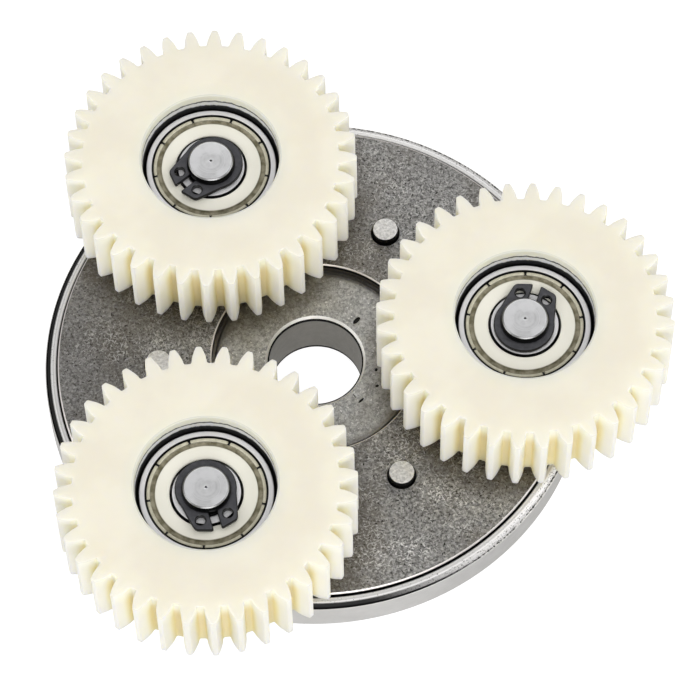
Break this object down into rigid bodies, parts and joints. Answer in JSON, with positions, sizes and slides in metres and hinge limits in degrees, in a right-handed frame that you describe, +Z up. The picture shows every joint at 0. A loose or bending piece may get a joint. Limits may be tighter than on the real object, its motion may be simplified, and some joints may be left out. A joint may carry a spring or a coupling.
{
  "type": "planet carrier with one-way clutch",
  "caption": "Planet carrier of a geared hub motor: nylon planets turn on ball bearings on a flat plate, and a one-way roller clutch lets the plate overrun the axle's keyed race.",
  "frame": {"origin": "on the clutch's axis, in the plane of the inner race's lower face", "axes": "+Z up the clutch's axis, from the back plate to the planets; +X towards planet 1"},
  "size_m": [0.1016, 0.106, 0.027],
  "materials": {
    "nylon": "moulded natural nylon, satin",
    "ground_steel": "dull grey ground steel with fine scratches",
    "turned_steel": "bright turned steel with fine tool lines",
    "bearing_steel": "ground and polished",
    "shield_steel": "pale pressed sheet with a thin oil film",
    "spring_steel": "black phosphate, oiled",
    "cage_steel": "pressed steel ribbon and polished balls, greased"
  },
  "bodies": {
    "carrier": {"carrier_plate": "ground_steel", "clutch_shell": "turned_steel", "back_plate": "ground_steel", "rivet_1": "turned_steel", "rivet_2": "turned_steel", "rivet_3": "turned_steel", "roller_spring_1": "spring_steel", "roller_spring_2": "spring_steel", "roller_spring_3": "spring_steel", "roller_spring_4": "spring_steel", "roller_spring_5": "spring_steel", "roller_spring_6": "spring_steel", "planet_pin_1": "turned_steel", "circlip_1": "spring_steel", "bearing_inner_ring_1": "bearing_steel", "planet_pin_2": "turned_steel", "circlip_2": "spring_steel", "bearing_inner_ring_2": "bearing_steel", "planet_pin_3": "turned_steel", "circlip_3": "spring_steel", "bearing_inner_ring_3": "bearing_steel"},
    "clutch_race": {"inner_race": "ground_steel"},
    "planet_1": {"planet_gear_1": "nylon", "bearing_outer_ring_1": "bearing_steel", "upper_shield_1": "shield_steel", "lower_shield_1": "shield_steel"},
    "balls_1": {"ball_cage_1": "cage_steel"},
    "planet_2": {"planet_gear_2": "nylon", "bearing_outer_ring_2": "bearing_steel", "upper_shield_2": "shield_steel", "lower_shield_2": "shield_steel"},
    "balls_2": {"ball_cage_2": "cage_steel"},
    "planet_3": {"planet_gear_3": "nylon", "bearing_outer_ring_3": "bearing_steel", "upper_shield_3": "shield_steel", "lower_shield_3": "shield_steel"},
    "balls_3": {"ball_cage_3": "cage_steel"},
    "roller_1": {"clutch_roller_1": "bearing_steel"},
    "roller_2": {"clutch_roller_2": "bearing_steel"},
    "roller_3": {"clutch_roller_3": "bearing_steel"},
    "roller_4": {"clutch_roller_4": "bearing_steel"},
    "roller_5": {"clutch_roller_5": "bearing_steel"},
    "roller_6": {"clutch_roller_6": "bearing_steel"}
  },
  "joints": [
    {"name": "clutch_overrun", "type": "hinge", "parent": "carrier", "child": "clutch_race", "pos_m": [0, 0, 0.0053], "axis": [0, 0, 1], "range_deg": [0, 360]},
    {"name": "planet_spin_1", "type": "hinge", "parent": "carrier", "child": "planet_1", "pos_m": [0.03375, 0, 0.0205], "axis": [0, 0, 1], "continuous": true},
    {"name": "planet_spin_2", "type": "hinge", "parent": "carrier", "child": "planet_2", "pos_m": [-0.01688, 0.02923, 0.0205], "axis": [0, 0, 1], "continuous": true},
    {"name": "planet_spin_3", "type": "hinge", "parent": "carrier", "child": "planet_3", "pos_m": [-0.01688, -0.02923, 0.0205], "axis": [0, 0, 1], "continuous": true},
    {"name": "balls_spin_1", "type": "hinge", "parent": "carrier", "child": "balls_1", "pos_m": [0.03375, 0, 0.0205], "axis": [0, 0, 1], "continuous": true},
    {"name": "balls_spin_2", "type": "hinge", "parent": "carrier", "child": "balls_2", "pos_m": [-0.01688, 0.02923, 0.0205], "axis": [0, 0, 1], "continuous": true},
    {"name": "balls_spin_3", "type": "hinge", "parent": "carrier", "child": "balls_3", "pos_m": [-0.01688, -0.02923, 0.0205], "axis": [0, 0, 1], "continuous": true},
    {"name": "roller_spin_1", "type": "hinge", "parent": "carrier", "child": "roller_1", "pos_m": [0.01862, 0.01209, 0.0073], "axis": [0, 0, 1], "range_deg": [-2360, 0]},
    {"name": "roller_spin_2", "type": "hinge", "parent": "carrier", "child": "roller_2", "pos_m": [-0.00116, 0.02217, 0.0073], "axis": [0, 0, 1], "range_deg": [-2360, 0]},
    {"name": "roller_spin_3", "type": "hinge", "parent": "carrier", "child": "roller_3", "pos_m": [-0.01978, 0.01008, 0.0073], "axis": [0, 0, 1], "range_deg": [-2360, 0]},
    {"name": "roller_spin_4", "type": "hinge", "parent": "carrier", "child": "roller_4", "pos_m": [-0.01862, -0.01209, 0.0073], "axis": [0, 0, 1], "range_deg": [-2360, 0]},
    {"name": "roller_spin_5", "type": "hinge", "parent": "carrier", "child": "roller_5", "pos_m": [0.00116, -0.02217, 0.0073], "axis": [0, 0, 1], "range_deg": [-2360, 0]},
    {"name": "roller_spin_6", "type": "hinge", "parent": "carrier", "child": "roller_6", "pos_m": [0.01978, -0.01008, 0.0073], "axis": [0, 0, 1], "range_deg": [-2360, 0]}
  ],
  "couplings": [
    {"joint": "balls_spin_1", "follows": "planet_spin_1", "ratio": 0.6323},
    {"joint": "balls_spin_2", "follows": "planet_spin_2", "ratio": 0.6323},
    {"joint": "balls_spin_3", "follows": "planet_spin_3", "ratio": 0.6323},
    {"joint": "roller_spin_1", "follows": "clutch_overrun", "ratio": -6.5517},
    {"joint": "roller_spin_2", "follows": "clutch_overrun", "ratio": -6.5517},
    {"joint": "roller_spin_3", "follows": "clutch_overrun", "ratio": -6.5517},
    {"joint": "roller_spin_4", "follows": "clutch_overrun", "ratio": -6.5517},
    {"joint": "roller_spin_5", "follows": "clutch_overrun", "ratio": -6.5517},
    {"joint": "roller_spin_6", "follows": "clutch_overrun", "ratio": -6.5517}
  ]
}
